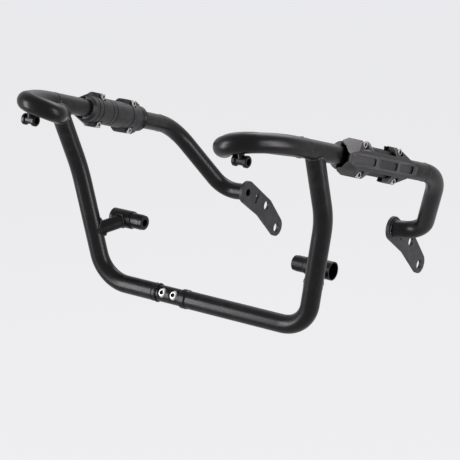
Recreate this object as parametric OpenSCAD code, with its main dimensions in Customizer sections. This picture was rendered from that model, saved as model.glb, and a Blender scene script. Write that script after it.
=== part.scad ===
// Pair of motorcycle crash bars joined under the engine, with a slider pad on each side.
// Frame: millimetres, +Z up, -Y to the front of the bike, +X to the rider's left.
// The points below are given from the middle of the bottom tube; the whole part is then moved so
// that the origin is the inner face of the left engine mount bore.

/* [Tubes] */
// outside diameter of the main tubes
tube_d = 25; // [22:0.5:30]
// wall of the main tubes
tube_wall = 2; // [1.5:0.5:3]
// bend radius of the bottom corners
corner_r = 45.5; // [40:0.5:60]
// bend radius of the kink in the down tubes
kink_r = 140; // [100:5:200]
// bend radius of the upper rear corner
rear_r = 83; // [60:1:90]
// bend radius of the last corner before the rear plate
drop_r = 34.5; // [32:0.5:38]
// radius of the weld bead round a butt seam
seam_bead = 1.1; // [0.6:0.1:2]

/* [Down tube] */
// half distance between the bottom corners
corner_x = 166.6; // [150:0.5:185]
// kink, to the side
kink_x = 197.7; // [185:0.5:210]
// kink, forward of the bottom tube
kink_fwd = 10.8; // [0:0.2:20]
// kink, height
kink_z = 158.6; // [140:0.5:175]
// top of the down tube, to the side
top_x = 204.8; // [199:0.5:206]
// top of the down tube, forward of the bottom tube
top_fwd = 47.3; // [42:0.5:52]
// top of the down tube, height
top_z = 258.6; // [254:0.5:262]

/* [Upper bar] */
// start of the straight bar, to the side
bar_x = 193.6; // [190:0.5:200]
// start of the straight bar, forward
bar_fwd = 113.8; // [108:0.5:120]
// start of the straight bar, height
bar_z = 282.7; // [278:0.5:287]
// upper rear corner, to the side
rear_x = 224.8; // [215:0.5:235]
// upper rear corner, behind the bottom tube
rear_y = 238.6; // [225:0.5:255]
// upper rear corner, height
rear_z = 160; // [150:0.5:172]
// distance of the front seam from the start of the straight bar
seam_front = 56; // [50:0.5:60]

/* [Front loops] */
// left loop, where the inner leg meets its own bar, distance along the bar
left_meet = 51.7; // [46:0.1:54]
// left loop, rear inner corner [side, forward, height]
left_rear = [103.8, 86.1, 266.5];
// left loop, front inner corner [side, forward, height]
left_front = [129.8, 130.6, 269.5];
// left loop, front outer corner [side, forward, height]
left_nose = [151.2, 188.2, 292.7];
// left loop, distance of the sweep corner along the bar
left_sweep = 5; // [2:0.5:10]
// left loop, bend radii of the four corners
left_radii = [30.5, 30.5, 27, 130];
// right loop, where the leg meets the down tube, below the top of that tube
right_meet = 19; // [14:0.5:24]
// right loop, rear inner corner [side, forward, height]
right_rear = [85, 115.1, 271];
// right loop, front inner corner [side, forward, height]
right_front = [121.3, 170.2, 285.4];
// right loop, front outer corner [side, forward, height]
right_nose = [167.2, 155.4, 290.7];
// right loop, distance of the sweep corner along the bar
right_sweep = 22; // [15:0.5:28]
// right loop, bend radii of the four corners
right_radii = [38, 38, 38, 155];
// length of the coped foot of each inner leg
foot_len = 36; // [34:1:45]

/* [Rear corner and plate] */
// lower rear corner, to the side
drop_x = 172; // [165:0.5:180]
// lower rear corner, behind the bottom tube
drop_y = 299.8; // [290:0.5:310]
// lower rear corner, height
drop_z = 53; // [45:0.5:62]
// outer face of the rear plates, to the side
plate_x = 132; // [125:0.5:136]
// thickness of the rear plates
plate_t = 5; // [3:0.5:6]
// right plate, middle of the tube lobe, behind the bottom tube
lobe_y = 298.3; // [290:0.5:306]
// right plate, middle of the tube lobe, height
lobe_z = 57; // [50:0.5:64]
// radius of the tube lobe
lobe_r = 17.5; // [15.5:0.5:20]
// left plate sits this much further forward
left_plate_fwd = 9.5; // [0:0.5:12]
// left plate sits this much lower
left_plate_drop = 5.2; // [0:0.2:8]
// upper frame bolt hole from the tube lobe, rearward
hole_a_y = 51; // [46:0.5:56]
// upper frame bolt hole below the tube lobe
hole_a_dz = 34; // [30:0.5:40]
// lower frame bolt hole from the tube lobe, rearward
hole_b_y = 78; // [72:0.5:84]
// lower frame bolt hole below the tube lobe
hole_b_dz = 77.5; // [70:0.5:84]
// diameter of the two frame bolt holes
frame_hole_d = 14.5; // [10:0.5:15]
// diameter of the drain hole in the tube lobe
drain_d = 11.5; // [6:0.5:12]

/* [Engine mounts] */
// engine mount axis, behind the bottom tube
mount_y = 38; // [34:0.5:42]
// right engine mount, height
mount_z = 80.2; // [76:0.2:90]
// left engine mount sits this much lower
left_mount_drop = 7.7; // [0:0.1:12]
// inner face of the mount bush, to the side
mount_in = 124; // [120:0.5:130]
// inner end of the mount tube, to the side
mount_mid = 145; // [141:0.5:148]
// outer end of the right mount tube, to the side
mount_out = 178; // [176:0.5:184]
// the left mount tube reaches this much further out
left_mount_more = 5; // [0:0.5:6]
// outside diameter of the mount tube
mount_d = 25; // [23:0.5:28]
// wall of the mount tube
mount_wall = 1.5; // [1.5:0.5:3]
// outside diameter of the mount bush
bush_d = 21.5; // [18:0.5:23]
// bolt hole in the mount bush
mount_bore = 10.5; // [8.5:0.5:12.5]
// outside diameter of the strut
strut_d = 19; // [16:0.5:20]
// outside diameter of the weld collar at the foot of the strut
collar_d = 25.5; // [24:0.5:28]

/* [Front mounts] */
// front mount, to the side
front_x = 164.5; // [160:0.5:170]
// front mount, forward of the bottom tube
front_fwd = 146.4; // [142:0.5:150]
// front mount, height
front_z = 263; // [260:0.5:265]
// length of the front mount spool
spool_len = 21; // [18:0.5:26]
// diameter of the spool flanges
spool_d = 15; // [13:0.5:17]
// diameter of the spool waist
waist_d = 11; // [10:0.5:12]
// length of the neck over the spool, up into the tube
neck_len = 23; // [20:0.5:26]
// bolt hole in the spool
front_bore = 8.5; // [6.5:0.5:9]

/* [Slider pads] */
// distance of the middle of the pad from the start of the straight bar
pad_s = 204; // [190:1:210]
// half length of the pad at its widest
pad_a = 80; // [76:0.5:84]
// half length of the outer half where it meets the inner half
pad_foot = 70; // [66:0.5:74]
// half length of the raised band
band_a = 75; // [70:0.5:75]
// half height of the pad at the bolts
pad_h = 24; // [24:0.5:27]
// half height of the pad between the bolts
waist_h = 17.5; // [17:0.5:19]
// reach of the pad to the outside of the tube axis
pad_out = 29; // [26:0.5:30]
// half height of the raised band
band_h = 8.5; // [7.5:0.5:9.5]
// distance of the pad bolts from the middle of the pad
bolt_a = 41; // [38:0.5:44]
// height of the pad bolts over the tube axis
bolt_h = 19.5; // [19:0.1:20.5]
// seat of the bolt heads, to the outside of the tube axis
seat_y = 11.5; // [9:0.5:13]
// depth of the bolt lugs of the inner half
lug_t = 4; // [3:0.5:6]
// diameter of the pad bolts
pad_bolt_d = 6; // [5:0.5:6]
// length of each panel in the band
panel_len = 42; // [38:0.5:43]
// half height of each panel
panel_h = 5.2; // [4.5:0.1:6]
// outside radius of the inner half
inner_r = 18.5; // [17.5:0.5:19]
// half length of the inner half
inner_a = 72.5; // [68:0.5:76]
// length of the hollow mouth at each end of the outer half
mouth_len = 22; // [14:1:26]
// depth of the hollow mouth, to the outside of the tube axis
mouth_y = 19.5; // [17:0.5:20.5]

/* [Bottom joint] */
// end of the right tube, to the left of the middle is plus
joint_a = -70; // [-75:0.5:-66]
// end of the left tube
joint_b = -31; // [-33:0.5:-26]
// outside diameter of the bolted tongues
tongue_d = 23; // [22.5:0.1:24]
// depth of the plugs inside the tubes
plug_len = 24; // [16:1:30]
// distance between the joint bolts
joint_pitch = 19; // [18:0.5:20]
// diameter of the joint bolts
joint_bolt_d = 8; // [6:0.5:8]
// head diameter of the joint bolts
joint_head_d = 12.6; // [12:0.2:13.4]
// tilt of the joint bolts, heads upward
joint_tilt = 30; // [0:1:45]

/* [Hidden] */
$fn = 48;
eps = 0.01;
bore_d = tube_d - 2 * tube_wall;
steel = [0.09, 0.09, 0.1];
flat_black = [0.13, 0.13, 0.14];
pad_black = [0.11, 0.11, 0.12];
bright = [0.75, 0.75, 0.76];
bar_a = [bar_x, -bar_fwd, bar_z];
bar_b = [rear_x, rear_y, rear_z];
bar_e = (bar_b - bar_a) / norm(bar_b - bar_a);
bar_u = cross(bar_e, [0, 0, 1]) / norm(cross(bar_e, [0, 0, 1]));
bar_w = cross(bar_u, bar_e);
p_corner = [corner_x, 0, 0];
p_kink = [kink_x, -kink_fwd, kink_z];
p_top = [top_x, -top_fwd, top_z];
p_drop = [drop_x, drop_y, drop_z];
p_front = [front_x, -front_fwd, front_z];
p_pad = bar_a + bar_e * pad_s;
bolt_room = pad_bolt_d / 2 + 0.2;
// each rod runs this far into the next bend, and a bend is this much thinner, so that they join cleanly
lap = 0.4;
bend_step = 0.02;
head_r = pad_bolt_d * 0.78;
nut_r = pad_bolt_d * 0.78;

function unit(v) = v / norm(v);
function turn(a, b, c) = acos(unit(b - a) * unit(c - b));
function cut(a, b, c, r) = r * tan(turn(a, b, c) / 2);
// upper rear seam, at the start of the rear bend
seam_rear = norm(bar_b - bar_a) - cut(bar_a, bar_b, p_drop, rear_r) - 2;
function lobe(side) = side > 0
  ? [plate_x, lobe_y - left_plate_fwd, lobe_z - left_plate_drop]
  : [plate_x, lobe_y, lobe_z];
function mount_h(side) = side > 0 ? mount_z - left_mount_drop : mount_z;
function strut_foot(side) = p_corner + (p_kink - p_corner) * (mount_h(side) - 9.5) / kink_z;
function strut_head(side) = [(mount_mid + mount_out) / 2 - 5.5, mount_y, mount_h(side)];
function mount_end(side) = side > 0 ? mount_out + left_mount_more : mount_out;
function flip(p) = [p[0], -p[1], p[2]];

// a straight rod between two points
module rod(p, q, d) {
  z = unit(q - p);
  x = unit(cross(abs(z[2]) > 0.9 ? [1, 0, 0] : [0, 0, 1], z));
  y = cross(z, x);
  multmatrix([[x[0], y[0], z[0], p[0]], [x[1], y[1], z[1], p[1]], [x[2], y[2], z[2], p[2]]])
    cylinder(h = norm(q - p), d = d);
}
// a round bend at corner b on the way from a to c
module bend(a, b, c, r, d) {
  d1 = unit(b - a);
  d2 = unit(c - b);
  n = unit(d2 - d1 * (d1 * d2));
  m = b - d1 * cut(a, b, c, r) + n * r;
  x = -n;
  z = cross(x, d1);
  multmatrix([[x[0], d1[0], z[0], m[0]], [x[1], d1[1], z[1], m[1]], [x[2], d1[2], z[2], m[2]]])
    rotate_extrude(angle = turn(a, b, c), $fn = 96) translate([r, 0]) circle(d = d - bend_step);
}
// a run of rods and bends through the points p with the corner radii r
module path(p, r, d, ext = 0) {
  n = len(p);
  for (i = [0 : n - 2]) {
    v = unit(p[i + 1] - p[i]);
    s = i == 0 ? p[0] - v * ext : p[i] + v * (cut(p[i - 1], p[i], p[i + 1], r[i - 1]) - lap);
    t = i == n - 2 ? p[n - 1] + v * ext
      : p[i + 1] - v * (cut(p[i], p[i + 1], p[i + 2], r[i]) - lap);
    rod(s, t, d);
  }
  for (i = [1 : n - 2]) bend(p[i - 1], p[i], p[i + 1], r[i - 1], d);
}
module place() {
  translate([-mount_in, -mount_y, -mount_h(1)]) children();
}
// a part of one half of the bars: side 1 is the left, side -1 the right
module half(side) {
  place() mirror([side > 0 ? 0 : 1, 0, 0]) children();
}
module on_bar() {
  multmatrix([[bar_e[0], bar_u[0], bar_w[0], p_pad[0]], [bar_e[1], bar_u[1], bar_w[1], p_pad[1]],
    [bar_e[2], bar_u[2], bar_w[2], p_pad[2]]]) children();
}

module bar_rod(d, s0, s1) {
  rod(bar_a + bar_e * s0, bar_a + bar_e * s1, d);
}
function tube_end(side) = side > 0 ? joint_b : -joint_a;
function down_points(side) = [[tube_end(side), 0, 0], p_corner, p_kink, p_top];
module down_path(side, d, ext = 0) {
  path(down_points(side), [corner_r, kink_r], d, ext);
}
module down_tube(side) {
  half(side) color(steel) difference() {
    down_path(side, tube_d);
    down_path(side, bore_d, 1);
    bar_rod(tube_d, seam_front - 20, seam_rear);
  }
}
function leg_points(side) = side > 0
  ? [bar_a + bar_e * left_meet, flip(left_rear), flip(left_front), flip(left_nose),
     bar_a + bar_e * left_sweep, bar_a + bar_e * seam_front]
  : [p_top - unit(p_top - p_kink) * right_meet, flip(right_rear), flip(right_front),
     flip(right_nose), bar_a + bar_e * right_sweep, bar_a + bar_e * seam_front];
// the loop from the seam round to the coped foot of its inner leg
module loop_path(side, d, ext = 0) {
  q = leg_points(side);
  v = unit(q[1] - q[0]);
  path([q[0] + v * (foot_len - lap), q[1], q[2], q[3], q[4], q[5]],
    side > 0 ? left_radii : right_radii, d, ext);
}
module foot_rod(side, d) {
  q = leg_points(side);
  rod(q[0], q[0] + unit(q[1] - q[0]) * foot_len, d - bend_step);
}
module top_rod(d) {
  rod(p_kink + unit(p_top - p_kink) * 30, p_top, d);
}
module loop_tube(side) {
  half(side) color(steel) difference() {
    union() {
      difference() {
        foot_rod(side, tube_d);
        if (side > 0) bar_rod(tube_d - 1.6, -5, seam_front + 40);
        bar_rod(tube_d, side > 0 ? seam_front : -5, seam_front + 60);
        top_rod(tube_d);
      }
      loop_path(side, tube_d);
    }
    loop_path(side, bore_d, 1);
    difference() {
      foot_rod(side, bore_d);
      if (side > 0) bar_rod(tube_d - tube_wall, -5, seam_front + 40);
    }
  }
}
module mid_tube(side) {
  half(side) color(steel) difference() {
    bar_rod(tube_d, seam_front, seam_rear);
    bar_rod(bore_d, seam_front - 1, seam_rear + 1);
  }
}
module rear_path(side, d, ext = 0) {
  path([bar_a + bar_e * seam_rear, bar_b, p_drop, lobe(side)], [rear_r, drop_r], d, ext);
}
module rear_tube(side) {
  half(side) color(steel) difference() {
    rear_path(side, tube_d);
    rear_path(side, bore_d, 1);
    translate([plate_x - 40, 0, -100]) cube([40, 600, 400]);
  }
}
// tangent point on circle p, r of the line that runs on to circle q, s on the side k
function touch(p, r, q, s, k) = let (v = q - p, d = norm(v), a = atan2(v[1], v[0]),
  b = acos((r - s) / d)) p + r * [cos(a + k * b), sin(a + k * b)];
module rear_plate(side) {
  c = [lobe(side)[1], lobe(side)[2]];
  h1 = c + [hole_a_y, -hole_a_dz];
  h2 = c + [hole_b_y, -hole_b_dz];
  e1 = c + [hole_a_y + 1, -hole_a_dz - 5];
  e2 = h2 + [1.5, 1.5];
  i1 = c + [30, -45];
  er = 14.5;
  er2 = 15;
  half(side) color(flat_black) translate([plate_x - plate_t, 0, 0])
    multmatrix([[0, 0, 1, 0], [1, 0, 0, 0], [0, 1, 0, 0]]) difference() {
      union() {
        translate([c[0], c[1], 0]) cylinder(h = plate_t, r = lobe_r);
        translate([e1[0], e1[1], 0]) cylinder(h = plate_t, r = er);
        translate([e2[0], e2[1], 0]) cylinder(h = plate_t, r = er2);
        linear_extrude(plate_t) polygon([touch(c, lobe_r, e1, er, 1), touch(e1, er, c, lobe_r, -1),
          touch(e1, er, e2, er2, 1), touch(e2, er2, e1, er, -1), e2,
          touch(e2, er2, i1, 0, 1), i1, touch(c, lobe_r, i1, 0, -1), c]);
      }
      translate([c[0], c[1], -1]) cylinder(h = plate_t + 2, d = drain_d);
      translate([h1[0], h1[1], -1]) cylinder(h = plate_t + 2, d = frame_hole_d);
      translate([h2[0], h2[1], -1]) cylinder(h = plate_t + 2, d = frame_hole_d);
      translate([c[0] + 24, c[1] - 16, -1]) rotate(-34) {
        translate([0, 4.5, 0]) cylinder(h = plate_t + 2, d = 8.4);
        translate([0, -6, 0]) cylinder(h = plate_t + 2, d = 4.4);
        translate([0, 0, 0]) linear_extrude(plate_t + 2)
          polygon([[-4.12, 5.3], [-2.16, -5.6], [2.16, -5.6], [4.12, 5.3]]);
      }
    }
}
// a round bead on the straight bar at distance s
module bar_bead(side, s) {
  half(side) color(steel) difference() {
    multmatrix([[bar_u[0], bar_w[0], bar_e[0], (bar_a + bar_e * s)[0]],
      [bar_u[1], bar_w[1], bar_e[1], (bar_a + bar_e * s)[1]],
      [bar_u[2], bar_w[2], bar_e[2], (bar_a + bar_e * s)[2]]])
      rotate_extrude($fn = 72) translate([tube_d / 2 - 0.3, 0]) circle(r = seam_bead, $fn = 24);
    bar_rod(tube_d, s - 5, s + 5);
    if (s < seam_front + 1) top_rod(tube_d);
    if (s < seam_front + 1) foot_rod(side, tube_d);
  }
}
module spool_round(grow = 0) {
  h = spool_len / 2;
  r = spool_d / 2;
  translate(p_front) rotate([0, 90, 0]) rotate_extrude($fn = 72)
    polygon([[0, -h], [r - 1, -h], [r, -h + 1], [r, -h + 4.5], [r - 1, -h + 5.5], [waist_d / 2, -h + 6.5],
      [waist_d / 2, h - 6.5], [r - 1, h - 5.5], [r, h - 4.5], [r, h - 1], [r - 1, h], [0, h]]);
}
module front_spool(side) {
  half(side) color(steel) difference() {
    spool_round();
    translate(p_front - [spool_len, 0, 0]) rotate([0, 90, 0])
      cylinder(h = 2 * spool_len, d = front_bore);
  }
}
module front_neck(side) {
  half(side) color(steel) difference() {
    rod(p_front, p_front + [-1.5, 0, neck_len], 9);
    translate(p_front - [spool_len, 0, 0]) rotate([0, 90, 0])
      cylinder(h = 2 * spool_len, d = waist_d);
    spool_round();
    loop_path(side, tube_d);
  }
}
module along_mount(side) {
  translate([0, mount_y, mount_h(side)]) rotate([0, 90, 0]) children();
}
module mount_body(side, d, x0, x1) {
  along_mount(side) translate([0, 0, x0]) cylinder(h = x1 - x0, d = d);
}
module mount_tube(side) {
  half(side) color(steel) difference() {
    mount_body(side, mount_d, mount_mid, mount_end(side));
    mount_body(side, mount_d - 2 * mount_wall, mount_mid - 1, mount_end(side) + 1);
  }
}
module mount_bush(side) {
  half(side) color(steel) difference() {
    along_mount(side) rotate_extrude($fn = 72) polygon([[0, mount_in], [bush_d / 2 - 1.2, mount_in],
      [bush_d / 2 - 0.6, mount_in + 0.6], [bush_d / 2 - 0.6, mount_in + 4],
      [bush_d / 2, mount_in + 4.6], [bush_d / 2, mount_mid - 3], [mount_d / 2 - 0.7, mount_mid - 1.5],
      [mount_d / 2 - 0.7, mount_mid], [mount_d / 2 - mount_wall, mount_mid],
      [mount_d / 2 - mount_wall, mount_mid + 6], [0, mount_mid + 6]]);
    mount_body(side, mount_bore, mount_in - 1, mount_mid + 8);
  }
}
module strut_rod(side, d) {
  rod(strut_foot(side), strut_head(side), d);
}
module strut(side) {
  half(side) color(steel) difference() {
    strut_rod(side, strut_d);
    strut_rod(side, strut_d - 2 * tube_wall);
    rod(p_corner, p_kink, tube_d);
    mount_body(side, mount_d, mount_mid - 30, mount_out + 10);
  }
}
module strut_collar(side) {
  v = unit(strut_head(side) - strut_foot(side));
  half(side) color(steel) difference() {
    rod(strut_foot(side), strut_foot(side) + v * (tube_d / 2 + 1.5), collar_d);
    strut_rod(side, strut_d);
    rod(p_corner, p_kink, tube_d);
  }
}
// everything beyond the plane with normal n at distance k
module beyond(n, k) {
  z = unit(n);
  x = unit(cross([0, 0, 1], z));
  y = cross(z, x);
  multmatrix([[x[0], y[0], z[0], z[0] * k], [x[1], y[1], z[1], z[1] * k],
    [x[2], y[2], z[2], z[2] * k]]) translate([-120, -120, 0]) cube([240, 240, 60]);
}
module at_bolts() {
  for (x = [-bolt_a, bolt_a], z = [-bolt_h, bolt_h]) translate([x, 0, z]) rotate([-90, 0, 0]) children();
}
module pad_slots() {
  at_bolts() {
    translate([0, 0, seat_y]) cylinder(h = 30, r = head_r + 1.1);
    translate([0, 0, -30]) cylinder(h = 60, r = bolt_room);
  }
}
// the three panels: the outer two lie on the sloped ends of the band
band_tip = pad_out - 7;
band_flat = 23;
module panel(depth) {
  h = panel_h;
  l = panel_len / 2;
  translate([0, -depth, 0]) rotate([-90, 0, 0]) linear_extrude(20)
    polygon([[-l, -h + 2], [-l + 2, -h], [l - 2, -h], [l, -h + 2], [l, h - 2], [l - 2, h],
      [-l + 2, h], [-l, h - 2]]);
}
module pad_body() {
  h = pad_h;
  b = band_h;
  p = pad_out;
  intersection() {
    linear_extrude(3 * h, center = true)
      polygon([[-pad_foot, 0], [-pad_foot - 5, 8], [-pad_a, 14], [-pad_a, p - 7], [-band_a, band_tip],
        [-band_flat, p], [band_flat, p], [band_a, band_tip], [pad_a, p - 7], [pad_a, 14],
        [pad_foot + 5, 8], [pad_foot, 0]]);
    rotate([90, 0, 90]) linear_extrude(2 * pad_a + 10, center = true)
      polygon([[0, -h], [10.5, -h], [13, -h + 1.6], [p - 6, -b - 2.2], [p - 4.5, -b], [p + 1, -b],
        [p + 1, b], [p - 4.5, b], [p - 6, b + 2.2], [13, h - 1.6], [10.5, h], [0, h]]);
  }
}
module pad_outer(side) {
  h = pad_h;
  w = waist_h;
  half(side) on_bar() color(pad_black) difference() {
    pad_body();
    // the four corners slope off to the ends
    for (i = [-1, 1], k = [-1, 1]) beyond([i * 0.315, 0.426, k * 0.848], 38.8);
    // waist between the bolts, with a step in its flank and sloped ends
    for (k = [0, 1]) mirror([0, 0, k]) {
      intersection() {
        rotate([90, 0, 90]) linear_extrude(80, center = true)
          polygon([[21.6, 13.1], [13.3, 13.1], [11, w - 0.4], [-1, w], [-1, 2 * h], [30, 2 * h], [30, 13.1]]);
        linear_extrude(60) polygon([[-32, -2], [-26, 21.7], [26, 21.7], [32, -2]]);
      }
    }
    panel_x = band_flat + (band_a - band_flat) / 2;
    tilt = atan((pad_out - band_tip) / (band_a - band_flat));
    translate([0, pad_out, 0]) panel(1.8);
    for (k = [-1, 1]) translate([k * panel_x, (pad_out + band_tip) / 2, 0]) rotate([0, 0, -k * tilt])
      panel(2);
    // hollow mouths round the tube
    for (k = [-1, 1]) translate([k * (pad_a - mouth_len / 2 + 1), 0, 0]) {
      rotate([90, 0, 90]) linear_extrude(mouth_len + 2, center = true)
        polygon([[-1, -14.5], [8, -14.5], [mouth_y, -6], [mouth_y, 6], [8, 14.5], [-1, 14.5]]);
    }
    rotate([0, 90, 0]) cylinder(h = 3 * pad_a, d = tube_d, center = true);
    pad_slots();
  }
}
module pad_inner(side) {
  a = inner_a;
  r = inner_r;
  h = pad_h;
  half(side) on_bar() color(pad_black) difference() {
    union() {
      intersection() {
        rotate([0, 90, 0]) rotate_extrude($fn = 96) polygon([[0, -a], [r - 3, -a], [r, -a + 5],
          [r, a - 4], [r - 2, a], [0, a]]);
        translate([-2 * a, -2 * r, -2 * r]) cube([4 * a, 2 * r, 4 * r]);
      }
      for (x = [-bolt_a, bolt_a]) translate([x, 0, 0]) linear_extrude(2 * h - 1, center = true)
        polygon([[-15, 0], [-9, -lug_t - 1], [9, -lug_t - 1], [15, 0]]);
    }
    rotate([0, 90, 0]) cylinder(h = 3 * pad_a, d = tube_d, center = true);
    for (x = [-60, -50, -24, -14, 30, 56, 66]) translate([x, 0, 0]) rotate([0, 90, 0]) difference() {
      cylinder(h = 2.4, r = r + 1, $fn = 96);
      translate([0, 0, -1]) cylinder(h = 5, r = r - 1.1, $fn = 96);
      translate([-3 * h, -lug_t - 2, -1]) cube([6 * h, 40, 5]);
    }
    pad_slots();
    at_bolts() translate([0, 0, -30 - lug_t]) cylinder(h = 30, r = nut_r + 0.9);
  }
}
module pad_bolts(side) {
  half(side) on_bar() color(bright) at_bolts() difference() {
    union() {
      translate([0, 0, seat_y]) cylinder(h = pad_bolt_d - 0.7, r = head_r);
      translate([0, 0, seat_y + pad_bolt_d - 0.7]) cylinder(h = 0.7, r1 = head_r, r2 = head_r - 0.7);
      translate([0, 0, -lug_t - 3.2]) cylinder(h = lug_t + 3.7 + seat_y, d = pad_bolt_d);
    }
    translate([0, 0, seat_y + 2.5]) cylinder(h = 10, d = pad_bolt_d * 0.95, $fn = 6);
  }
}
module pad_nuts(side) {
  half(side) on_bar() color(bright) at_bolts() difference() {
    union() {
      translate([0, 0, -lug_t - 4]) cylinder(h = 4, r = nut_r);
      translate([0, 0, -lug_t - 4.8]) cylinder(h = 0.8, r1 = nut_r - 0.8, r2 = nut_r);
    }
    translate([0, 0, -lug_t - 3.2]) cylinder(h = 20, d = pad_bolt_d);
    translate([0, 0, -lug_t - 6]) cylinder(h = 4.5, d = pad_bolt_d * 0.75, $fn = 6);
  }
}
// joint bolts stand at these places along the bottom tube
function bolt_x(k) = (joint_a + joint_b) / 2 - 0.5 + k * joint_pitch / 2;
seat = tongue_d / 2 - 3.5;
module at_joint() {
  place() rotate([-joint_tilt, 0, 0]) children();
}
module joint_holes() {
  for (k = [-1, 1]) translate([bolt_x(k), 0, 0]) rotate([90, 0, 0]) {
    translate([0, 0, -30]) cylinder(h = 60, d = joint_bolt_d + 0.4);
    translate([0, 0, seat]) cylinder(h = 20, d = joint_head_d + 2);
    translate([0, 0, -seat - 20]) cylinder(h = 20, d = joint_head_d + 4);
  }
}
module joint_tongue(side) {
  x0 = side > 0 ? joint_a + 5 : joint_a;
  x1 = side > 0 ? joint_b : joint_b - 5;
  xp = side > 0 ? joint_b : joint_a - plug_len;
  at_joint() color(steel) difference() {
    union() {
      translate([xp, 0, 0]) rotate([0, 90, 0]) cylinder(h = plug_len, d = bore_d);
      intersection() {
        translate([joint_a, 0, 0]) rotate([0, 90, 0]) cylinder(h = joint_b - joint_a, d = tongue_d);
        union() {
          translate([x0, side > 0 ? 0 : -20, -20]) cube([x1 - x0, 20, 40]);
          if (side > 0) translate([joint_b - 4.6, -20, -20]) cube([5, 40, 40]);
          if (side < 0) translate([joint_a, -20, -20]) cube([4.6, 40, 40]);
        }
      }
    }
    joint_holes();
  }
}
module joint_collar_left() {
  place() color(steel) translate([joint_b, 0, 0]) rotate([0, 90, 0]) difference() {
    rotate_extrude($fn = 72) polygon([[0, 0], [tube_d / 2 + 0.4, 0], [tube_d / 2 + 0.9, 0.8],
      [tube_d / 2 + 0.9, 8], [tube_d / 2, 11], [0, 11]]);
    translate([0, 0, -1]) cylinder(h = 20, d = tube_d);
  }
}
module joint_ring_right() {
  place() color(steel) translate([joint_a, 0, 0]) rotate([0, -90, 0]) difference() {
    union() {
      translate([0, 0, 1.6]) rotate_extrude($fn = 72) translate([tube_d / 2 - 0.4, 0]) circle(r = 1.3, $fn = 24);
      translate([0, 0, 7.5]) rotate_extrude($fn = 72) translate([tube_d / 2 - 0.4, 0]) circle(r = 0.9, $fn = 24);
    }
    translate([0, 0, -5]) cylinder(h = 30, d = tube_d);
  }
}
module joint_bolts() {
  at_joint() color(bright) for (k = [-1, 1]) translate([bolt_x(k), 0, 0]) rotate([90, 0, 0]) difference() {
    union() {
      rotate_extrude($fn = 60) translate([0, seat]) polygon([[0, 0], [joint_head_d / 2, 0],
        [joint_head_d / 2, 1], [joint_head_d / 2 - 1.4, 2.9], [joint_head_d / 2 - 2.4, 3.4], [0, 3.4]]);
      translate([0, 0, -seat - 8]) cylinder(h = 2 * seat + 8.5, d = joint_bolt_d);
    }
    translate([0, 0, seat + 0.8]) cylinder(h = 10, d = joint_bolt_d * 0.72, $fn = 6);
  }
}
module joint_nuts() {
  at_joint() color(bright) for (k = [-1, 1]) translate([bolt_x(k), seat, 0]) rotate([-90, 0, 0])
    difference() {
      cylinder(h = joint_bolt_d * 0.8, d = joint_bolt_d * 1.85, $fn = 6);
      translate([0, 0, -1]) cylinder(h = 20, d = joint_bolt_d);
    }
}

down_tube(1);  // down_tube_left
down_tube(-1);  // down_tube_right
loop_tube(1);  // loop_tube_left
loop_tube(-1);  // loop_tube_right
mid_tube(1);  // mid_tube_left
mid_tube(-1);  // mid_tube_right
rear_tube(1);  // rear_tube_left
rear_tube(-1);  // rear_tube_right
rear_plate(1);  // rear_plate_left
rear_plate(-1);  // rear_plate_right
bar_bead(1, seam_front);  // seam_front_left
bar_bead(-1, seam_front);  // seam_front_right
bar_bead(1, seam_rear);  // seam_rear_left
bar_bead(-1, seam_rear);  // seam_rear_right
front_spool(1);  // front_spool_left
front_spool(-1);  // front_spool_right
front_neck(1);  // front_neck_left
front_neck(-1);  // front_neck_right
mount_tube(1);  // mount_tube_left
mount_tube(-1);  // mount_tube_right
mount_bush(1);  // mount_bush_left
mount_bush(-1);  // mount_bush_right
strut(1);  // strut_left
strut(-1);  // strut_right
strut_collar(1);  // strut_collar_left
strut_collar(-1);  // strut_collar_right
pad_outer(1);  // pad_outer_left
pad_outer(-1);  // pad_outer_right
pad_inner(1);  // pad_inner_left
pad_inner(-1);  // pad_inner_right
pad_bolts(1);  // pad_bolts_left
pad_bolts(-1);  // pad_bolts_right
pad_nuts(1);  // pad_nuts_left
pad_nuts(-1);  // pad_nuts_right
joint_tongue(1);  // joint_tongue_left
joint_tongue(-1);  // joint_tongue_right
joint_collar_left();
joint_ring_right();
joint_bolts();
joint_nuts();
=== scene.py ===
import math
from functools import partial

import bmesh
import bpy
import numpy as np
from mathutils import Matrix, Vector


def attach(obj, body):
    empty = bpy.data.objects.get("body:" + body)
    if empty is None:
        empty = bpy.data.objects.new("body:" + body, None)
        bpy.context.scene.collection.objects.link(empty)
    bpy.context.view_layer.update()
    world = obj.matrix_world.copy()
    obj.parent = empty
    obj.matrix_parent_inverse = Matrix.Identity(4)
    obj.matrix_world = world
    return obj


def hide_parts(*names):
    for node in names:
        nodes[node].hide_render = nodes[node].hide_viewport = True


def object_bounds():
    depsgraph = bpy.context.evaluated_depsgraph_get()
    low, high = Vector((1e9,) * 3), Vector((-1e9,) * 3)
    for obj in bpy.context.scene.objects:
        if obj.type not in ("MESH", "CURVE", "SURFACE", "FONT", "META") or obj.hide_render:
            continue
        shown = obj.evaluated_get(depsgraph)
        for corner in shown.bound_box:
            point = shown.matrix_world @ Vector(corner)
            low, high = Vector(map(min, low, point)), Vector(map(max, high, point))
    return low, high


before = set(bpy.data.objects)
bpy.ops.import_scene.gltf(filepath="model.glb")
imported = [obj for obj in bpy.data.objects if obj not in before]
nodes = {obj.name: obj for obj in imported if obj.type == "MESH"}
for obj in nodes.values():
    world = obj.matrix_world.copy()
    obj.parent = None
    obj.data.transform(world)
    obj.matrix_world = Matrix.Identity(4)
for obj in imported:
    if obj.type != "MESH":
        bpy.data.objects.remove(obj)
cad_box = [list(map(float, c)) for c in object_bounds()]
scene = bpy.context.scene

# ------------------------------------------------------------------ camera, floor, lights
MIRROR_X = -0.124
MID = Vector((MIRROR_X, 0.07, 0.06))


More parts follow.
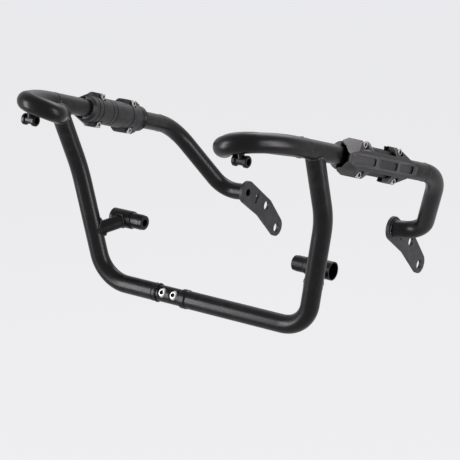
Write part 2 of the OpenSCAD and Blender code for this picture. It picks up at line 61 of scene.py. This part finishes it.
def point(x, y, z):
    """A point of part.scad (millimetres from the middle of the bottom tube) in the row frame."""
    return np.array([x - 124.0, y - 38.0, z - 72.5]) / 1000.0


def linked(name, data):
    """A new object in the scene with this data."""
    o = bpy.data.objects.new(name, data)
    scene.collection.objects.link(o)
    return o


cam = linked("camera", bpy.data.cameras.new("camera"))
scene.camera = cam
# the camera's own axes in the row frame, fitted to the picture
CAM_RIGHT = Vector((0.8213, 0.5704, 0.0))
CAM_UP = Vector((-0.1822, 0.2624, 0.9476))
CAM_BACK = Vector((0.5406, -0.7783, 0.3194))
pose = Matrix((CAM_RIGHT, CAM_UP, CAM_BACK)).transposed().to_4x4()
pose.translation = Vector((1.1611, -1.8213, 0.7727))
cam.matrix_world = pose
cam.data.sensor_width = 36.0
cam.data.lens = 136.39
cam.data.clip_start, cam.data.clip_end = 0.05, 60.0


LAMP_TINT = (1.0, 0.96, 1.0)


def lamp(name, azimuth, elevation, distance, size, watts):
    """A soft box that looks at the middle of the object; azimuth 0 stands in front, at -Y."""
    a, e = math.radians(azimuth), math.radians(elevation)
    way = Vector((math.sin(a) * math.cos(e), -math.cos(a) * math.cos(e), math.sin(e)))
    data = bpy.data.lights.new(name, "AREA")
    data.shape = "RECTANGLE"
    data.size, data.size_y = size
    data.energy = watts
    data.color = LAMP_TINT
    o = linked(name, data)
    o.location = MID + way * distance
    o.rotation_mode = "QUATERNION"
    o.rotation_quaternion = (-way).to_track_quat("-Z", "Y")


# tall boxes on both sides give the steep tubes their edge lights, the one behind lights the bars
lamp("left", -39, 5, 2.1, (0.5, 1.7), 66)
lamp("right", 98, 3, 2.1, (0.5, 1.6), 52)
lamp("top", 190, 40, 2.3, (1.5, 1.2), 26)

PALE = (0.8308, 0.8308, 0.8469, 1.0)
FLOOR_GLOW = (0.858, 0.858, 0.874, 1)
FLOOR_LIT = (0.8, 0.8, 0.815, 1)
FILL = (0.34, 0.34, 0.35, 1)
GLOW_SHARE = 0.93
FLOOR_DROP, FLOOR_REACH = 0.62, 20


def tree(mat_or_world):
    """An empty node tree."""
    mat_or_world.use_nodes = True
    t = mat_or_world.node_tree
    t.nodes.clear()
    return t


def node(t, kind, **values):
    """A new node with these properties or input values."""
    n = t.nodes.new(kind)
    for k, v in values.items():
        if hasattr(n, k):
            setattr(n, k, v)
        else:
            n.inputs[k].default_value = v
    return n


def seen_rays(t):
    """1 for camera, glossy and transmission rays, so that metal shows the pale background too."""
    path = node(t, "ShaderNodeLightPath")
    a = node(t, "ShaderNodeMath", operation="MAXIMUM")
    b = node(t, "ShaderNodeMath", operation="MAXIMUM")
    t.links.new(path.outputs["Is Camera Ray"], a.inputs[0])
    t.links.new(path.outputs["Is Glossy Ray"], a.inputs[1])
    t.links.new(a.outputs[0], b.inputs[0])
    t.links.new(path.outputs["Is Transmission Ray"], b.inputs[1])
    return b.outputs[0]


world = bpy.data.worlds.new("studio")
scene.world = world
t = tree(world)
fill = node(t, "ShaderNodeBackground")
fill.inputs["Color"].default_value = FILL
seen = node(t, "ShaderNodeBackground")
seen.inputs["Color"].default_value = PALE
mix = node(t, "ShaderNodeMixShader")
t.links.new(seen_rays(t), mix.inputs[0])
t.links.new(fill.outputs[0], mix.inputs[1])
t.links.new(seen.outputs[0], mix.inputs[2])
t.links.new(mix.outputs[0], node(t, "ShaderNodeOutputWorld").inputs[0])

floor_mat = bpy.data.materials.new("floor")
t = tree(floor_mat)
lit = node(t, "ShaderNodeBsdfDiffuse")
lit.inputs["Color"].default_value = FLOOR_LIT
glow = node(t, "ShaderNodeEmission")
glow.inputs["Color"].default_value = FLOOR_GLOW
share = node(t, "ShaderNodeMath", operation="MULTIPLY")
share.inputs[1].default_value = GLOW_SHARE
t.links.new(seen_rays(t), share.inputs[0])
mix = node(t, "ShaderNodeMixShader")
t.links.new(share.outputs[0], mix.inputs[0])
t.links.new(lit.outputs[0], mix.inputs[1])
t.links.new(glow.outputs[0], mix.inputs[2])
t.links.new(mix.outputs[0], node(t, "ShaderNodeOutputMaterial").inputs[0])
me = bpy.data.meshes.new("floor")
far, z = FLOOR_REACH, cad_box[0][2] - FLOOR_DROP
me.from_pydata([(-far, -far, z), (far, -far, z), (far, far, z), (-far, far, z)], [], [(0, 1, 2, 3)])
me.materials.append(floor_mat)
floor = linked("floor", me)


# ------------------------------------------------------------------ materials
def noise(t, scale, detail=2.0, rough=0.5):
    """Noise from 0 to 1 that is fixed to the object, with scale in patches per metre."""
    n = node(t, "ShaderNodeTexNoise")
    n.inputs["Scale"].default_value = scale
    n.inputs["Detail"].default_value = detail
    n.inputs["Roughness"].default_value = rough
    t.links.new(node(t, "ShaderNodeTexCoord").outputs["Object"], n.inputs["Vector"])
    return n.outputs["Fac"]


def ramp(t, fac, stops):
    """A colour for each value, from stops of place and colour."""
    n = node(t, "ShaderNodeValToRGB")
    e = n.color_ramp.elements
    while len(e) < len(stops):
        e.new(0.5)
    for el, (pos, col) in zip(e, stops):
        el.position = pos
        el.color = (*col, 1)
    t.links.new(fac, n.inputs[0])
    return n.outputs[0]


def span(t, fac, lo, hi, from_lo=0.3, from_hi=0.7):
    """A value between from_lo and from_hi, stretched to run from lo to hi."""
    n = node(t, "ShaderNodeMapRange")
    for k, v in (("From Min", from_lo), ("From Max", from_hi), ("To Min", lo), ("To Max", hi)):
        n.inputs[k].default_value = v
    t.links.new(fac, n.inputs["Value"])
    return n.outputs["Result"]


def math2(t, op, a, b):
    """Two values or sockets, combined."""
    n = node(t, "ShaderNodeMath", operation=op)
    for i, v in enumerate((a, b)):
        if isinstance(v, float):
            n.inputs[i].default_value = v
        else:
            t.links.new(v, n.inputs[i])
    return n.outputs[0]


def bump(t, height, strength, distance, normal=None):
    """A normal tilted by a height, on top of another normal where one is given."""
    n = node(t, "ShaderNodeBump")
    n.inputs["Strength"].default_value = strength
    n.inputs["Distance"].default_value = distance
    t.links.new(height, n.inputs["Height"])
    if normal is not None:
        t.links.new(normal, n.inputs["Normal"])
    return n.outputs["Normal"]


# how many patches of colour, of roughness and of lightened edge (rubbed wear and painted highlight)
# there are in a metre
MOTTLE, PATCH, EDGE_PATCHES = 38, 55, 90
# orange peel in the coat: how much wider than the grain, and the heights of both in metres
PEEL_WIDER, PEEL_HIGH, GRAIN_HIGH = 4.5, 0.00012, 0.00008


def coated(name, dark, light, rough, grain, grain_mm, edge_wear_and_highlight=None, spec=0.3, edge_patch_range=(0.42, 0.62)):
    """Powder coat or moulded plastic: mottled colour, uneven roughness, grain and edges lightened
    by rubbed wear and a painted highlight.
    """
    mat = bpy.data.materials.new(name)
    t = tree(mat)
    p = node(t, "ShaderNodeBsdfPrincipled")
    p.inputs["Specular IOR Level"].default_value = spec
    col = ramp(t, noise(t, MOTTLE, 5, 0.6), [(0.35, dark), (0.7, light)])
    # convex edges, found from pointiness, get a lighter colour in patches: partly rubbed wear,
    # partly a painted highlight where edges catch light
    if edge_wear_and_highlight:
        geo = node(t, "ShaderNodeNewGeometry")
        edge = span(t, geo.outputs["Pointiness"], 0.0, 1.0, 0.53, 0.6)
        edge_wear_and_highlight_mask = math2(t, "MULTIPLY", edge, span(t, noise(t, EDGE_PATCHES, 4), 0.0, 1.0, *edge_patch_range))
        mixer = node(t, "ShaderNodeMix", data_type="RGBA")
        t.links.new(edge_wear_and_highlight_mask, mixer.inputs["Factor"])
        t.links.new(col, mixer.inputs["A"])
        mixer.inputs["B"].default_value = (*edge_wear_and_highlight, 1)
        col = mixer.outputs["Result"]
    t.links.new(col, p.inputs["Base Color"])
    r = span(t, noise(t, PATCH, 4, 0.6), rough - 0.022, rough + 0.026)
    t.links.new(r, p.inputs["Roughness"])
    fine = noise(t, 1000.0 / grain_mm, 2, 0.5)
    peel = noise(t, 1000.0 / (grain_mm * PEEL_WIDER), 2, 0.4)
    nrm = bump(t, peel, 0.35, PEEL_HIGH)
    nrm = bump(t, fine, grain, GRAIN_HIGH, nrm)
    t.links.new(nrm, p.inputs["Normal"])
    t.links.new(p.outputs[0], node(t, "ShaderNodeOutputMaterial").inputs[0])
    return mat


coat = coated("tube_coat", (0.0019, 0.0018, 0.0020), (0.0029, 0.0027, 0.0030), 0.325,
              grain=0.35, grain_mm=0.55, edge_wear_and_highlight=(0.007, 0.007, 0.007), spec=0.17)
plate_coat = coated("plate_coat", (0.0105, 0.0102, 0.0110), (0.0155, 0.0150, 0.0160), 0.5,
                    grain=0.7, grain_mm=0.5, edge_wear_and_highlight=(0.05, 0.05, 0.053), spec=0.25)
# the plastic's light rims are mostly a painted highlight, with a little rubbed wear
plastic = coated("moulded_plastic", (0.0055, 0.0052, 0.0056), (0.0095, 0.0091, 0.0097), 0.42,
                 grain=0.9, grain_mm=0.4, edge_wear_and_highlight=(0.10, 0.098, 0.10), spec=0.24, edge_patch_range=(0.15, 0.45))
weld_coat = coated("weld_coat", (0.006, 0.006, 0.0065), (0.011, 0.0105, 0.011), 0.32,
                   grain=0.3, grain_mm=0.7, edge_wear_and_highlight=(0.03, 0.029, 0.03), spec=0.32)


def steel(name, dark, light, rough):
    """Plain stainless fasteners with fine turning marks and a little tarnish."""
    mat = bpy.data.materials.new(name)
    t = tree(mat)
    p = node(t, "ShaderNodeBsdfPrincipled")
    p.inputs["Metallic"].default_value = 1.0
    col = ramp(t, noise(t, 420, 4), [(0.3, dark), (0.7, light)])
    t.links.new(col, p.inputs["Base Color"])
    t.links.new(span(t, noise(t, 800, 3), *rough), p.inputs["Roughness"])
    t.links.new(bump(t, noise(t, 2600, 2), 0.35, 0.00004), p.inputs["Normal"])
    t.links.new(p.outputs[0], node(t, "ShaderNodeOutputMaterial").inputs[0])
    return mat


bright = steel("stainless", (0.44, 0.435, 0.43), (0.60, 0.60, 0.60), (0.50, 0.62))
dull = steel("stainless_dull", (0.30, 0.27, 0.25), (0.52, 0.5, 0.48), (0.30, 0.45))
# painted shade: a dark coat for the faces deep in the bolt and nut sockets, where shade falls
painted_shade_in_sockets = coated("painted_socket_shade", (0.010, 0.010, 0.010), (0.020, 0.019, 0.018), 0.6,
                grain=0.3, grain_mm=0.5, spec=0.2)
inner_plastic = coated("moulded_plastic_inner", (0.0065, 0.0063, 0.0068), (0.0105, 0.0102, 0.0108),
                       0.44, grain=0.9, grain_mm=0.4, edge_wear_and_highlight=(0.03, 0.029, 0.03), spec=0.22)
# a lighter coat that paints a highlight on the thin butt-seam beads, as a line that catches light
seam_painted_highlight = coated("seam_painted_highlight", (0.035, 0.034, 0.035), (0.055, 0.053, 0.054), 0.4,
                   grain=0.3, grain_mm=0.6, spec=0.3)


def pick(name):
    """The material of a CAD node and the name of its slot."""
    if name.startswith("pad_outer"):
        return plastic, "moulded_plastic"
    if name.startswith("pad_inner"):
        return inner_plastic, "moulded_plastic"
    if "bolts" in name or "nuts" in name:
        return (bright if name.startswith("joint") else dull), "stainless"
    if name.startswith("rear_plate"):
        return plate_coat, "plate_coat"
    return coat, "tube_coat"


for name, obj in nodes.items():
    mat, _ = pick(name)
    for s in obj.material_slots:
        s.material = mat
    if not obj.material_slots:
        obj.data.materials.append(mat)


# ------------------------------------------------------------------ eased copies of sharp solids
# points this close are one, faces this near to flat are one, edges sharper than this are rounded
ONE_POINT, ONE_FACE, SHARP = 2e-6, math.radians(0.6), math.radians(24.0)


def eased(name, width, twin=None):
    """A copy of a CAD node, or of its twin on the other side, with its sharp edges rounded over."""
    bm = bmesh.new()
    bm.from_mesh(nodes[twin or name].data)
    if twin:
        for v in bm.verts:
            v.co.x = 2 * MIRROR_X - v.co.x
        bmesh.ops.reverse_faces(bm, faces=bm.faces)
    bmesh.ops.remove_doubles(bm, verts=bm.verts, dist=ONE_POINT)
    bmesh.ops.dissolve_limit(bm, angle_limit=ONE_FACE, verts=bm.verts, edges=bm.edges)
    me = bpy.data.meshes.new(name + "_eased")
    bm.to_mesh(me)
    bm.free()
    o = linked(name + "_eased", me)
    mat, slot = pick(name)
    me.materials.append(mat)
    mod = o.modifiers.new("ease", "BEVEL")
    mod.width = width
    mod.segments = 2
    mod.limit_method = "ANGLE"
    mod.angle_limit = SHARP
    mod.use_clamp_overlap = True
    mod.harden_normals = False
    mod.miter_outer = "MITER_ARC"
    for f in me.polygons:
        f.use_smooth = True
    smooth = o.modifiers.new("normals", "WEIGHTED_NORMAL")
    smooth.keep_sharp = False
    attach(o, "root")
    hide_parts(name)


PAD_EDGE, PLATE_EDGE = 0.0007, 0.0005
for side in ("left", "right"):
    eased("pad_outer_" + side, PAD_EDGE, twin="pad_outer_left" if side == "right" else None)
    eased("rear_plate_" + side, PLATE_EDGE)


# ------------------------------------------------------------------ tubes and weld beads
def unit(v):
    v = np.asarray(v, float)
    return v / np.linalg.norm(v)


def frame_of(v):
    """Two directions square to v and to each other."""
    v = unit(v)
    a = unit(np.cross([0, 0, 1] if abs(v[2]) < 0.9 else [1, 0, 0], v))
    return a, np.cross(v, a)


def crossing(p, v, r, mains, samples=120, far=True, reach=0.06):
    """Points round a branch tube where its skin meets the main tubes, None where it meets none."""
    a, b = frame_of(v)
    v = unit(v)
    run = []
    for k in range(samples):
        phi = 2 * math.pi * k / samples
        q = p + r * (math.cos(phi) * a + math.sin(phi) * b)
        best = None
        for (c, d, big) in mains:
            d = unit(d)
            w = q - c
            w = w - d * (w @ d)
            n = v - d * (v @ d)
            A, B, C = n @ n, 2 * n @ w, w @ w - big * big
            disc = B * B - 4 * A * C
            if disc < 0:
                continue
            root = (-B + (1 if far else -1) * math.sqrt(disc)) / (2 * A)
            if abs(root) > reach:
                continue
            best = root if best is None else (max(best, root) if far else min(best, root))
        run.append(None if best is None else q + v * best)
    return run


# a weld bead's ripples: their length, the spacing of its rings, and how much one ripple swells
# and how much ripples differ, as shares of its radius
PITCH, SPACING, SWELL, UNEVEN = 0.0026, 0.0006, 0.16, 0.12


def bead(name, run, r, seed, lift=0.0, centre=None, mat=weld_coat):
    """A rippled weld bead along a run of points; a run with gaps gives an open bead."""
    closed = all(q is not None for q in run)
    if not closed:
        n = len(run)
        start = next(i for i in range(n) if run[i] is not None and run[i - 1] is None)
        run = [run[(start + i) % n] for i in range(n)]
        stop = next((i for i, q in enumerate(run) if q is None), n)
        run = run[:stop]
    pts = np.array(run)
    if closed:
        pts = np.vstack([pts, pts[:1]])
    step = np.linalg.norm(np.diff(pts, axis=0), axis=1)
    s = np.concatenate([[0], np.cumsum(step)])
    total = s[-1]
    count = max(24, int(total / SPACING))
    at = np.linspace(0, total, count, endpoint=not closed)
    line = np.stack([np.interp(at, s, pts[:, k]) for k in range(3)], 1)
    ripples = max(3, round(total / PITCH))
    ring = 10
    rng = np.random.default_rng(seed)
    wob = rng.uniform(-UNEVEN, UNEVEN, ripples + 1)
    verts, faces = [], []
    mid = pts.mean(0) if centre is None else centre
    for i in range(count):
        j = (i + 1) % count if closed else min(i + 1, count - 1)
        k = i - 1 if closed or i else 0
        tan = unit(line[j] - line[k])
        out = line[i] - mid
        out = unit(out - tan * (out @ tan))
        side = np.cross(tan, out)
        ph = at[i] / total * ripples
        whole = int(ph) % ripples
        frac = ph - int(ph)
        rr = r * (1.0 + SWELL * math.sin(math.pi * frac) + wob[whole])
        if not closed:  # the ends taper
            rr *= min(1.0, 0.35 + min(i, count - 1 - i) * 0.12)
        for c in range(ring):
            ang = 2 * math.pi * c / ring
            verts.append(line[i] + out * (math.cos(ang) * rr + lift) + side * math.sin(ang) * rr)
    last = count if closed else count - 1
    for i in range(last):
        here, ahead = i * ring, (i + 1) % count * ring
        for c in range(ring):
            e = (c + 1) % ring
            faces.append((here + c, ahead + c, ahead + e, here + e))
    if not closed:
        faces.append(tuple(range(ring)))
        faces.append(tuple(reversed(range((count - 1) * ring, count * ring))))
    me = bpy.data.meshes.new(name)
    me.from_pydata([tuple(v) for v in verts], [], faces)
    me.validate()
    bm = bmesh.new()
    bm.from_mesh(me)
    bmesh.ops.recalc_face_normals(bm, faces=bm.faces)
    bm.to_mesh(me)
    bm.free()
    for f in me.polygons:
        f.use_smooth = True
    o = linked(name, me)
    me.materials.append(mat)
    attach(o, "root")
    return o


def mirrored(side, p):
    """A point given for the rider's left, on the side that is asked for: 1 left, -1 right."""
    return point(side * p[0], p[1], p[2])


def turned(side, v):
    """A direction given for the rider's left, on the side that is asked for."""
    return np.asarray(v, float) * np.array([side, 1, 1])


def run_of(points, radii, step=0.0015, longest=0.006):
    """Points along a path of straights, with a round bend of each radius at each inner corner."""
    out = [points[0]]
    for i in range(1, len(points) - 1):
        a, b, c, r = points[i - 1], points[i], points[i + 1], radii[i - 1]
        d1, d2 = unit(b - a), unit(c - b)
        th = math.acos(max(-1, min(1, d1 @ d2)))
        n = unit(d2 - d1 * (d1 @ d2))
        m = b - d1 * r * math.tan(th / 2) + n * r
        k = max(6, int(th * r / step))
        for j in range(k + 1):
            out.append(m - n * r * math.cos(th * j / k) + d1 * r * math.sin(th * j / k))
    out.append(points[-1])
    fine = [out[0]]
    for a, b in zip(out[:-1], out[1:]):
        k = max(1, int(np.linalg.norm(b - a) / longest))
        fine += [a + (b - a) * j / k for j in range(1, k + 1)]
    return np.array(fine)


def pipe(name, line, r, mat, sides=40):
    """A round tube along a line, closed at both ends, which lie inside the tubes they meet."""
    tan = np.gradient(line, axis=0)
    tan /= np.linalg.norm(tan, axis=1)[:, None]
    a, _ = frame_of(tan[0])
    verts, faces = [], []
    for i, (q, d) in enumerate(zip(line, tan)):
        a = unit(a - d * (a @ d))
        b = np.cross(d, a)
        for c in range(sides):
            w = math.tau * c / sides
            verts.append(tuple(q + r * (math.cos(w) * a + math.sin(w) * b)))
    for i in range(len(line) - 1):
        for c in range(sides):
            e = (c + 1) % sides
            here, ahead = i * sides, (i + 1) * sides
            faces.append((here + c, here + e, ahead + e, ahead + c))
    faces.append(tuple(reversed(range(sides))))
    faces.append(tuple(range((len(line) - 1) * sides, len(line) * sides)))
    me = bpy.data.meshes.new(name)
    me.from_pydata(verts, [], faces)
    for f in me.polygons:
        f.use_smooth = len(f.vertices) == 4
    o = linked(name, me)
    me.materials.append(mat)
    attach(o, "root")
    return o


# the radii of the tubes, in metres
TUBE, STRUT, COLLAR, NECK = 0.0125, 0.0095, 0.01275, 0.0045
# part.scad's points and places along the straight bar, in millimetres, for the rider's left
BAR_A = np.array([193.6, -113.8, 282.7])
BAR_B = np.array([224.8, 238.6, 160.0])
CORNER = np.array([166.6, 0, 0])
KINK = np.array([197.7, -10.8, 158.6])
TOP = np.array([204.8, -47.3, 258.6])
SPOOL = np.array([164.5, -146.4, 263.0])
DROP = np.array([172, 299.8, 53])
SEAM_FRONT, SEAM_REAR, PAD_MIDDLE, LEFT_MEET = 56.0, 334.8, 204, 51.7
LEFT_REAR = np.array([103.8, -86.1, 266.5])
SIDES = ((1, "left"), (-1, "right"))
# what differs between the sides: the loop's outer corner and where its sweep meets the bar,
# the height of the engine mount and the middle of the rear plate's tube lobe
NOSE = {1: np.array([151.2, -188.2, 292.7]), -1: np.array([167.2, -155.4, 290.7])}
SWEEP = {1: 5, -1: 22}
MOUNT_Z = {1: 72.5, -1: 80.2}
LOBE = {1: np.array([132, 288.8, 51.8]), -1: np.array([132, 298.3, 57.0])}
bar_e = unit(BAR_B - BAR_A)
stem_e = unit(TOP - KINK)


def bar_at(length):
    """The point this far along the straight bar."""
    return BAR_A + bar_e * length


# ------------------------------------------------------------------ front loop on the rider's right
# one leg straight to the down tube; its corners and bend radii are fitted to the picture
RIGHT_FOOT = TOP - stem_e * 17.8
RIGHT_INNER = np.array([118.5, -147.1, 278.0])
RIGHT_NOSE = np.array([164.5, -159.2, 291.0])
RIGHT_SWEEP = bar_at(22.9)
RIGHT_RADII = (0.0206, 0.0209, 0.157)
corners = [RIGHT_FOOT, RIGHT_INNER, RIGHT_NOSE, RIGHT_SWEEP, bar_at(SEAM_FRONT)]
line = run_of([mirrored(-1, q) for q in corners], RIGHT_RADII)
loop = pipe("loop_right", line, TUBE, coat)
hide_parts("loop_tube_right")


# ------------------------------------------------------------------ butt seams in the bar
# bead radius and how far its middle sits under the tube's skin, in metres
FRONT_SEAM, REAR_SEAM = 0.0007, 0.0008
SEAM_SUNK = {1: 0.00055, -1: 0.0004}
REAR_SUNK = 0.00045


def ring_round(name, centre, way, r, lift, seed, mat):
    """A low bead round a tube, where two tubes are butt welded."""
    a, b = frame_of(way)
    turns = np.linspace(0, math.tau, 90, endpoint=False)
    run = [centre + TUBE * (math.cos(w) * a + math.sin(w) * b) for w in turns]
    return bead(name, run, r, lift=lift, centre=centre, seed=seed, mat=mat)


for side, sn in SIDES:
    way = turned(side, bar_e)
    # the left front seam hardly shows in the picture, the right one is a thin pale line
    # the right seam's pale line is a painted highlight, drawn in a lighter coat
    look = coat if side > 0 else seam_painted_highlight
    ring = ring_round(f"weld_seam_front_{sn}", mirrored(side, bar_at(SEAM_FRONT)), way,
                      FRONT_SEAM, -SEAM_SUNK[side], 31 + side, look)
    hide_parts("seam_front_" + sn)
    ring = ring_round(f"weld_seam_rear_{sn}", mirrored(side, bar_at(SEAM_REAR)), way,
                      REAR_SEAM, -REAR_SUNK, 35 + side, weld_coat)
    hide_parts("seam_rear_" + sn)


# ------------------------------------------------------------------ head of the left down tube
# drawn in under the bar, straight away from the camera, so that its weld runs all the way round
# and it stays where it was in the picture: how far, and how far its last fifth rises, in metres
DRAWN, HEAD_RISE, HEAD_FROM = 0.012, 0.004, 0.8
# only points this near to the top, measured sideways, are moved
UPRIGHT = 0.05
TOP_LEFT = TOP - np.array(CAM_BACK) * (DRAWN * 1000)
low, high = point(*KINK), point(*TOP)
stem_way, stem_long = unit(high - low), np.linalg.norm(high - low)
me = nodes["down_tube_left"].data.copy()
for v in me.vertices:
    q = np.array(v.co)
    u = (q - low) @ stem_way / stem_long
    if u > 0 and abs(q[0] - high[0]) < UPRIGHT:
        k = min(1.0, u)
        q = q - np.array(CAM_BACK) * DRAWN * k * k * (3 - 2 * k)
        if u > HEAD_FROM:
            q = q + stem_way * HEAD_RISE
        v.co = q
o = linked("down_tube_left_drawn", me)
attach(o, "root")
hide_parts("down_tube_left")


# ------------------------------------------------------------------ fasteners and the pads' ribs
def on_axis(q, start, way):
    """Distance along and away from an axis."""
    w = q - start
    along = w @ way
    return along, np.linalg.norm(w - way * along)


def nearest(q, axes):
    """The start of the axis that lies nearest."""
    return min(axes, key=lambda axis: on_axis(q, *axis)[1])[0]


def fastener(name, axes, reach):
    """A copy of a bolt or nut node whose faces within reach of its axes get painted shade, as deep
    in a socket.
    """
    me = nodes[name].data.copy()
    me.materials.clear()
    mat, slot = pick(name)
    me.materials.append(mat)
    me.materials.append(painted_shade_in_sockets)
    for f in me.polygons:
        c = np.array(f.center)
        f.material_index = int(min(on_axis(c, start, way)[1] for start, way in axes) < reach)
    o = linked(name + "_dressed", me)
    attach(o, "root")
    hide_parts(name)
    return me


# the pad bolts' places and seat, as part.scad has them; the tops of their heads, which start
# this far over the seat, sink this far, in metres
BOLT_A, BOLT_H, SEAT, HEAD_TOP, HEAD_SUNK = 0.041, 0.0195, 0.0115, 0.003, 0.0021
# radii within which the faces of a bolt and of a nut belong to its socket and get the painted shade
BOLT_SOCKET, NUT_SOCKET, JOINT_SOCKET = 0.0028, 0.0024, 0.00285
# the radius at the bottom of the inner pad's grooves, the radius that it is raised to,
# and how far the grooves reach on both sides of the pad's middle
GROOVE, GROOVE_RAISED, GROOVES_HALF = 0.0174, 0.0181, 0.07
pad_out = unit(np.cross(bar_e, [0, 0, 1]))
pad_across = np.cross(pad_out, bar_e)
for side, sn in SIDES:
    along, outward, across = (turned(side, v) for v in (bar_e, pad_out, pad_across))
    middle = mirrored(side, bar_at(PAD_MIDDLE))
    axes = [(middle + along * BOLT_A * i + across * BOLT_H * k, outward)
            for i in (-1, 1) for k in (-1, 1)]
    heads = fastener("pad_bolts_" + sn, axes, BOLT_SOCKET)
    for v in heads.vertices:
        q = np.array(v.co)
        height = on_axis(q, nearest(q, axes), outward)[0]
        if height > SEAT + HEAD_TOP:
            v.co = q - outward * HEAD_SUNK
    fastener("pad_nuts_" + sn, axes, NUT_SOCKET)
    me = nodes["pad_inner_" + sn].data.copy()
    for v in me.vertices:
        q = np.array(v.co)
        length, away = on_axis(q, middle, along)
        if abs(away - GROOVE) < 0.00008 and abs(length) < GROOVES_HALF:
            centre = middle + along * length
            v.co = centre + (q - centre) * (GROOVE_RAISED / away)
    o = linked(f"pad_inner_{sn}_dressed", me)
    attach(o, "root")
    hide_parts("pad_inner_" + sn)

# the two bolts of the bottom joint, with wider sockets
JOINT_TILT = math.radians(30)
JOINT_BOLTS = (-60.5, -41.5)
# the socket's edge: above this height, between these radii, made this much wider
EDGE_FROM, EDGE_IN, EDGE_OUT, SOCKET_WIDER = 0.006, 0.002, 0.0032, 1.22
tilt = np.array([0, -math.cos(JOINT_TILT), math.sin(JOINT_TILT)])
axes = [(point(x, 0, 0), tilt) for x in JOINT_BOLTS]
heads = fastener("joint_bolts", axes, JOINT_SOCKET)
for v in heads.vertices:
    q = np.array(v.co)
    start = nearest(q, axes)
    height, away = on_axis(q, start, tilt)
    if height > EDGE_FROM and EDGE_IN < away < EDGE_OUT:
        centre = start + tilt * height
        v.co = centre + (q - centre) * SOCKET_WIDER


# ------------------------------------------------------------------ weld beads where tubes meet
# bead radii in metres
TOP_BEAD, STRUT_BEAD, COLLAR_BEAD, PLATE_BEAD, NECK_BEAD = 0.0015, 0.0015, 0.0016, 0.0016, 0.0012
LEG_BEAD = {1: 0.0009, -1: 0.0019}
# the strut's foot is this far below the mount; its head lies inside the mount tube
STRUT_FALL, STRUT_HEAD, MOUNT_MIDDLE, MOUNT_Y = 9.5, 156, 150, 38
# the way of the neck from the spool up into the loop
NECK_RISE = (-1.5, 0, 23)
for side, sn in SIDES:
    at, way = partial(mirrored, side), partial(turned, side)
    bar = (at(BAR_A), way(bar_e), TUBE)
    head = TOP_LEFT if side > 0 else TOP
    stem = (at(KINK), way(head - KINK), TUBE)
    # down tube under the bar
    run = crossing(at(head), way(KINK - head), TUBE, [bar])
    bead(f"weld_top_{sn}", run, TOP_BEAD, seed=1 + side)
    # inner leg of the front loop on the bar and the down tube
    foot, leg = (bar_at(LEFT_MEET), LEFT_REAR) if side > 0 else (RIGHT_FOOT, RIGHT_INNER)
    run = crossing(at(foot), way(leg - foot), TUBE, [bar, stem])
    bead(f"weld_leg_{sn}", run, LEG_BEAD[side], seed=5 + side)
    # strut against the mount tube, collar against the down tube
    high = MOUNT_Z[side]
    foot = CORNER + (KINK - CORNER) * (high - STRUT_FALL) / KINK[2]
    head = np.array([STRUT_HEAD, MOUNT_Y, high])
    mount = (at([MOUNT_MIDDLE, MOUNT_Y, high]), way([1, 0, 0]), TUBE)
    run = crossing(at(head), way(foot - head), STRUT, [mount])
    bead(f"weld_strut_{sn}", run, STRUT_BEAD, seed=9 + side)
    post = (at(CORNER), way(KINK - CORNER), TUBE)
    run = crossing(at(foot), way(head - foot), COLLAR, [post])
    bead(f"weld_collar_{sn}", run, COLLAR_BEAD, seed=13 + side)
    # rear tube on its plate
    lobe, fall = at(LOBE[side]), unit(way(DROP - LOBE[side]))
    a, b = frame_of(fall)
    ring = []
    for k in range(90):
        w = k * math.tau / 90
        q = lobe + TUBE * (math.cos(w) * a + math.sin(w) * b)
        ring.append(q + fall * ((lobe[0] - q[0]) / fall[0]))
    bead(f"weld_plate_{sn}", ring, PLATE_BEAD, seed=17 + side)
    # neck of the front spool under the loop
    nose = NOSE[side]
    tube = (at(nose), way(bar_at(SWEEP[side]) - nose), TUBE)
    run = crossing(at(SPOOL), way(NECK_RISE), NECK, [tube], far=False)
    if any(q is not None for q in run):
        bead(f"weld_neck_{sn}", run, NECK_BEAD, seed=21 + side)

scene.view_settings.view_transform = "Standard"
